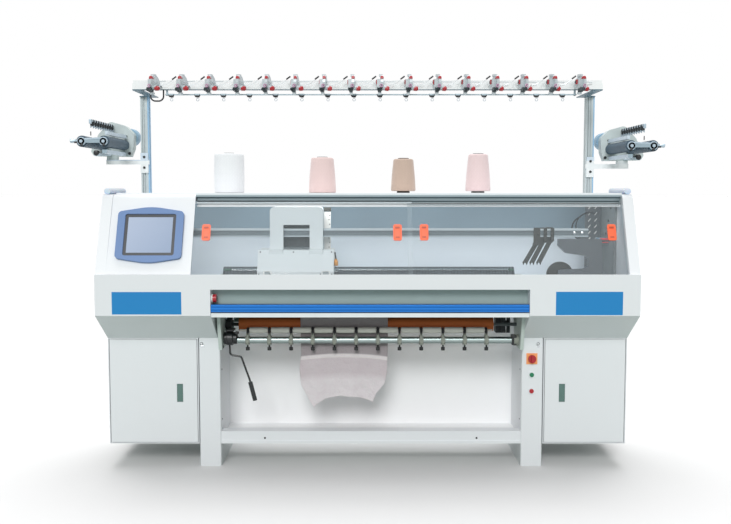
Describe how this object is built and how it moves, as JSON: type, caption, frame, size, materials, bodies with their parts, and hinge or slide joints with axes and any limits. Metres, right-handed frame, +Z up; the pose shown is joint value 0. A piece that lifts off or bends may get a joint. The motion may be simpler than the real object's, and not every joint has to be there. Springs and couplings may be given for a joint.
{
  "type": "flat knitting machine",
  "caption": "Flat knitting machine with sloped needle beds on a cabinet stand, with sliding hood windows, a touch screen, a yarn stand, take-down rollers and a travelling carriage.",
  "frame": {"origin": "on the floor, in the middle of the machine's overall width and depth", "axes": "+X along the needle beds to the operator's right, +Y from the operator to the back, +Z up"},
  "size_m": [2.6362, 0.65, 1.77],
  "materials": {
    "body_white": "satin powder coat",
    "tray_white": "satin powder coat",
    "recess_grey": "satin powder coat",
    "rail_silver": "satin anodised",
    "bar_blue": "anodised and ribbed",
    "clear_sheet": "clear acrylic sheet",
    "grip_orange": "moulded",
    "bezel_slate": "moulded",
    "screen": "display glass",
    "switch_orange": "moulded",
    "knob_red": "moulded",
    "button_green": "moulded",
    "button_red": "moulded",
    "latch_grey": "satin",
    "bed_steel": "ground",
    "casting": "painted casting",
    "carriage_grey": "satin",
    "feeder_rail_steel": "ground",
    "bracket_dark": "satin",
    "carrier_dark": "blackened, white tips",
    "roller_brown": "covered roller",
    "press_steel": "bright",
    "press_rubber": "light rubber",
    "crank_black": "black",
    "knit": "fine knit",
    "yarn": "wound yarn",
    "mast_aluminium": "satin anodised",
    "yarn_rail_white": "satin powder coat",
    "tensioner": "steel discs with red and black knobs",
    "thin_steel": "bright",
    "cable": "matt",
    "feeder_white": "satin powder coat",
    "feed_roller_dark": "matt covering",
    "lamp_frost": "frosted"
  },
  "bodies": {
    "machine": {"left_leg": "body_white", "right_leg": "body_white", "base_beam": "body_white", "lower_back_panel": "tray_white", "left_cabinet": "body_white", "right_cabinet": "body_white", "left_upper_box": "body_white", "right_upper_box": "body_white", "left_end_cap": "body_white", "right_end_cap": "body_white", "front_rail": "body_white", "apron_panel": "recess_grey", "switch_plate": "switch_orange", "screen_panel": "body_white", "screen_bezel": "bezel_slate", "screen_glass": "screen", "upper_track": "rail_silver", "table_top": "body_white", "rear_cover": "body_white", "end_lamps": "lamp_frost", "bed_beam": "casting", "front_needle_bed": "bed_steel", "rear_needle_bed": "bed_steel", "feeder_rails": "feeder_rail_steel", "rail_brackets": "bracket_dark", "masts": "mast_aluminium", "yarn_rail": "yarn_rail_white", "yarn_tensioners": "tensioner", "guide_rod": "thin_steel", "cable_loop": "cable", "left_side_feeder": "feeder_white", "right_side_feeder": "feeder_white", "yarn_cones": "yarn", "knitted_fabric": "knit"},
    "left_door": {"left_cabinet_door": "body_white"},
    "right_door": {"right_cabinet_door": "body_white"},
    "left_latch": {"left_door_latch": "latch_grey"},
    "right_latch": {"right_door_latch": "latch_grey"},
    "left_hood_window": {"left_window": "clear_sheet", "left_window_handles": "grip_orange"},
    "right_hood_window": {"right_window": "clear_sheet", "right_window_handles": "grip_orange"},
    "start_bar": {"operating_bar": "bar_blue"},
    "emergency_stop": {"estop_button": "button_red"},
    "main_switch": {"switch_knob": "knob_red"},
    "start_button": {"green_button": "button_green"},
    "stop_button": {"red_button": "button_red"},
    "carrier_one": {"yarn_carrier_1": "carrier_dark"},
    "carrier_two": {"yarn_carrier_2": "carrier_dark"},
    "carrier_three": {"yarn_carrier_3": "carrier_dark"},
    "carriage": {"carriage_saddles": "carriage_grey", "carriage_bridge": "carriage_grey"},
    "takedown": {"takedown_roller": "roller_brown"},
    "press_arms": {"press_shaft": "press_steel", "crank_handle": "crank_black"},
    "press_roller_row": {"press_rollers": "press_rubber"},
    "left_inner_feed": {"left_inner_feed_roller": "feed_roller_dark"},
    "left_outer_feed": {"left_outer_feed_roller": "feed_roller_dark"},
    "right_inner_feed": {"right_inner_feed_roller": "feed_roller_dark"},
    "right_outer_feed": {"right_outer_feed_roller": "feed_roller_dark"}
  },
  "joints": [
    {"name": "left_door_hinge", "type": "hinge", "parent": "machine", "child": "left_door", "pos_m": [-1.1695, -0.13, 0.349], "axis": [0, 0, 1], "range_deg": [-110, 0]},
    {"name": "right_door_hinge", "type": "hinge", "parent": "machine", "child": "right_door", "pos_m": [1.1695, -0.13, 0.349], "axis": [0, 0, 1], "range_deg": [0, 110]},
    {"name": "left_latch_hinge", "type": "hinge", "parent": "left_door", "child": "left_latch", "pos_m": [-0.8555, -0.132, 0.377], "axis": [1, 0, 0], "range_deg": [-35, 0]},
    {"name": "right_latch_hinge", "type": "hinge", "parent": "right_door", "child": "right_latch", "pos_m": [0.8875, -0.132, 0.377], "axis": [1, 0, 0], "range_deg": [-35, 0]},
    {"name": "left_window_slide", "type": "slide", "parent": "machine", "child": "left_hood_window", "axis": [1, 0, 0], "range_m": [0, 0.9]},
    {"name": "right_window_slide", "type": "slide", "parent": "machine", "child": "right_hood_window", "axis": [1, 0, 0], "range_m": [-0.9, 0]},
    {"name": "operating_bar_tilt", "type": "hinge", "parent": "machine", "child": "start_bar", "pos_m": [0, -0.307, 0.7515], "axis": [1, 0, 0], "range_deg": [-8, 8], "stiffness_Nm_per_rad": 0.5},
    {"name": "emergency_stop_press", "type": "slide", "parent": "machine", "child": "emergency_stop", "axis": [-1, 0, 0], "range_m": [0, 0.003], "stiffness_N_per_m": 400},
    {"name": "main_switch_turn", "type": "hinge", "parent": "machine", "child": "main_switch", "pos_m": [0.748, -0.145, 0.498], "axis": [0, 1, 0], "range_deg": [0, 90]},
    {"name": "start_button_press", "type": "slide", "parent": "machine", "child": "start_button", "axis": [0, 1, 0], "range_m": [0, 0.003], "stiffness_N_per_m": 400},
    {"name": "stop_button_press", "type": "slide", "parent": "machine", "child": "stop_button", "axis": [0, 1, 0], "range_m": [0, 0.003], "stiffness_N_per_m": 400},
    {"name": "carriage_slide", "type": "slide", "parent": "machine", "child": "carriage", "axis": [1, 0, 0], "range_m": [-0.33, 0.97]},
    {"name": "carrier_one_slide", "type": "slide", "parent": "machine", "child": "carrier_one", "axis": [1, 0, 0], "range_m": [-1.36, 0.015]},
    {"name": "carrier_two_slide", "type": "slide", "parent": "machine", "child": "carrier_two", "axis": [1, 0, 0], "range_m": [-1.36, 0.015]},
    {"name": "carrier_three_slide", "type": "slide", "parent": "machine", "child": "carrier_three", "axis": [1, 0, 0], "range_m": [-1.36, 0.015]},
    {"name": "takedown_turn", "type": "hinge", "parent": "machine", "child": "takedown", "pos_m": [0, -0.0645, 0.646], "axis": [1, 0, 0], "continuous": true},
    {"name": "press_arms_swing", "type": "hinge", "parent": "machine", "child": "press_arms", "pos_m": [0, -0.125, 0.582], "axis": [1, 0, 0], "range_deg": [0, 22]},
    {"name": "press_rollers_turn", "type": "hinge", "parent": "press_arms", "child": "press_roller_row", "pos_m": [0, -0.1135, 0.626], "axis": [1, 0, 0], "continuous": true},
    {"name": "left_inner_feed_turn", "type": "hinge", "parent": "machine", "child": "left_inner_feed", "pos_m": [-1.16, -0.028, 1.477], "axis": [0, 1, 0], "continuous": true},
    {"name": "left_outer_feed_turn", "type": "hinge", "parent": "machine", "child": "left_outer_feed", "pos_m": [-1.257, -0.028, 1.477], "axis": [0, 1, 0], "continuous": true},
    {"name": "right_inner_feed_turn", "type": "hinge", "parent": "machine", "child": "right_inner_feed", "pos_m": [1.16, -0.028, 1.457], "axis": [0, 1, 0], "continuous": true},
    {"name": "right_outer_feed_turn", "type": "hinge", "parent": "machine", "child": "right_outer_feed", "pos_m": [1.257, -0.028, 1.457], "axis": [0, 1, 0], "continuous": true}
  ],
  "couplings": [
    {"joint": "press_rollers_turn", "follows": "takedown_turn", "ratio": -2.2857},
    {"joint": "left_outer_feed_turn", "follows": "left_inner_feed_turn", "ratio": 1},
    {"joint": "right_outer_feed_turn", "follows": "right_inner_feed_turn", "ratio": 1}
  ]
}
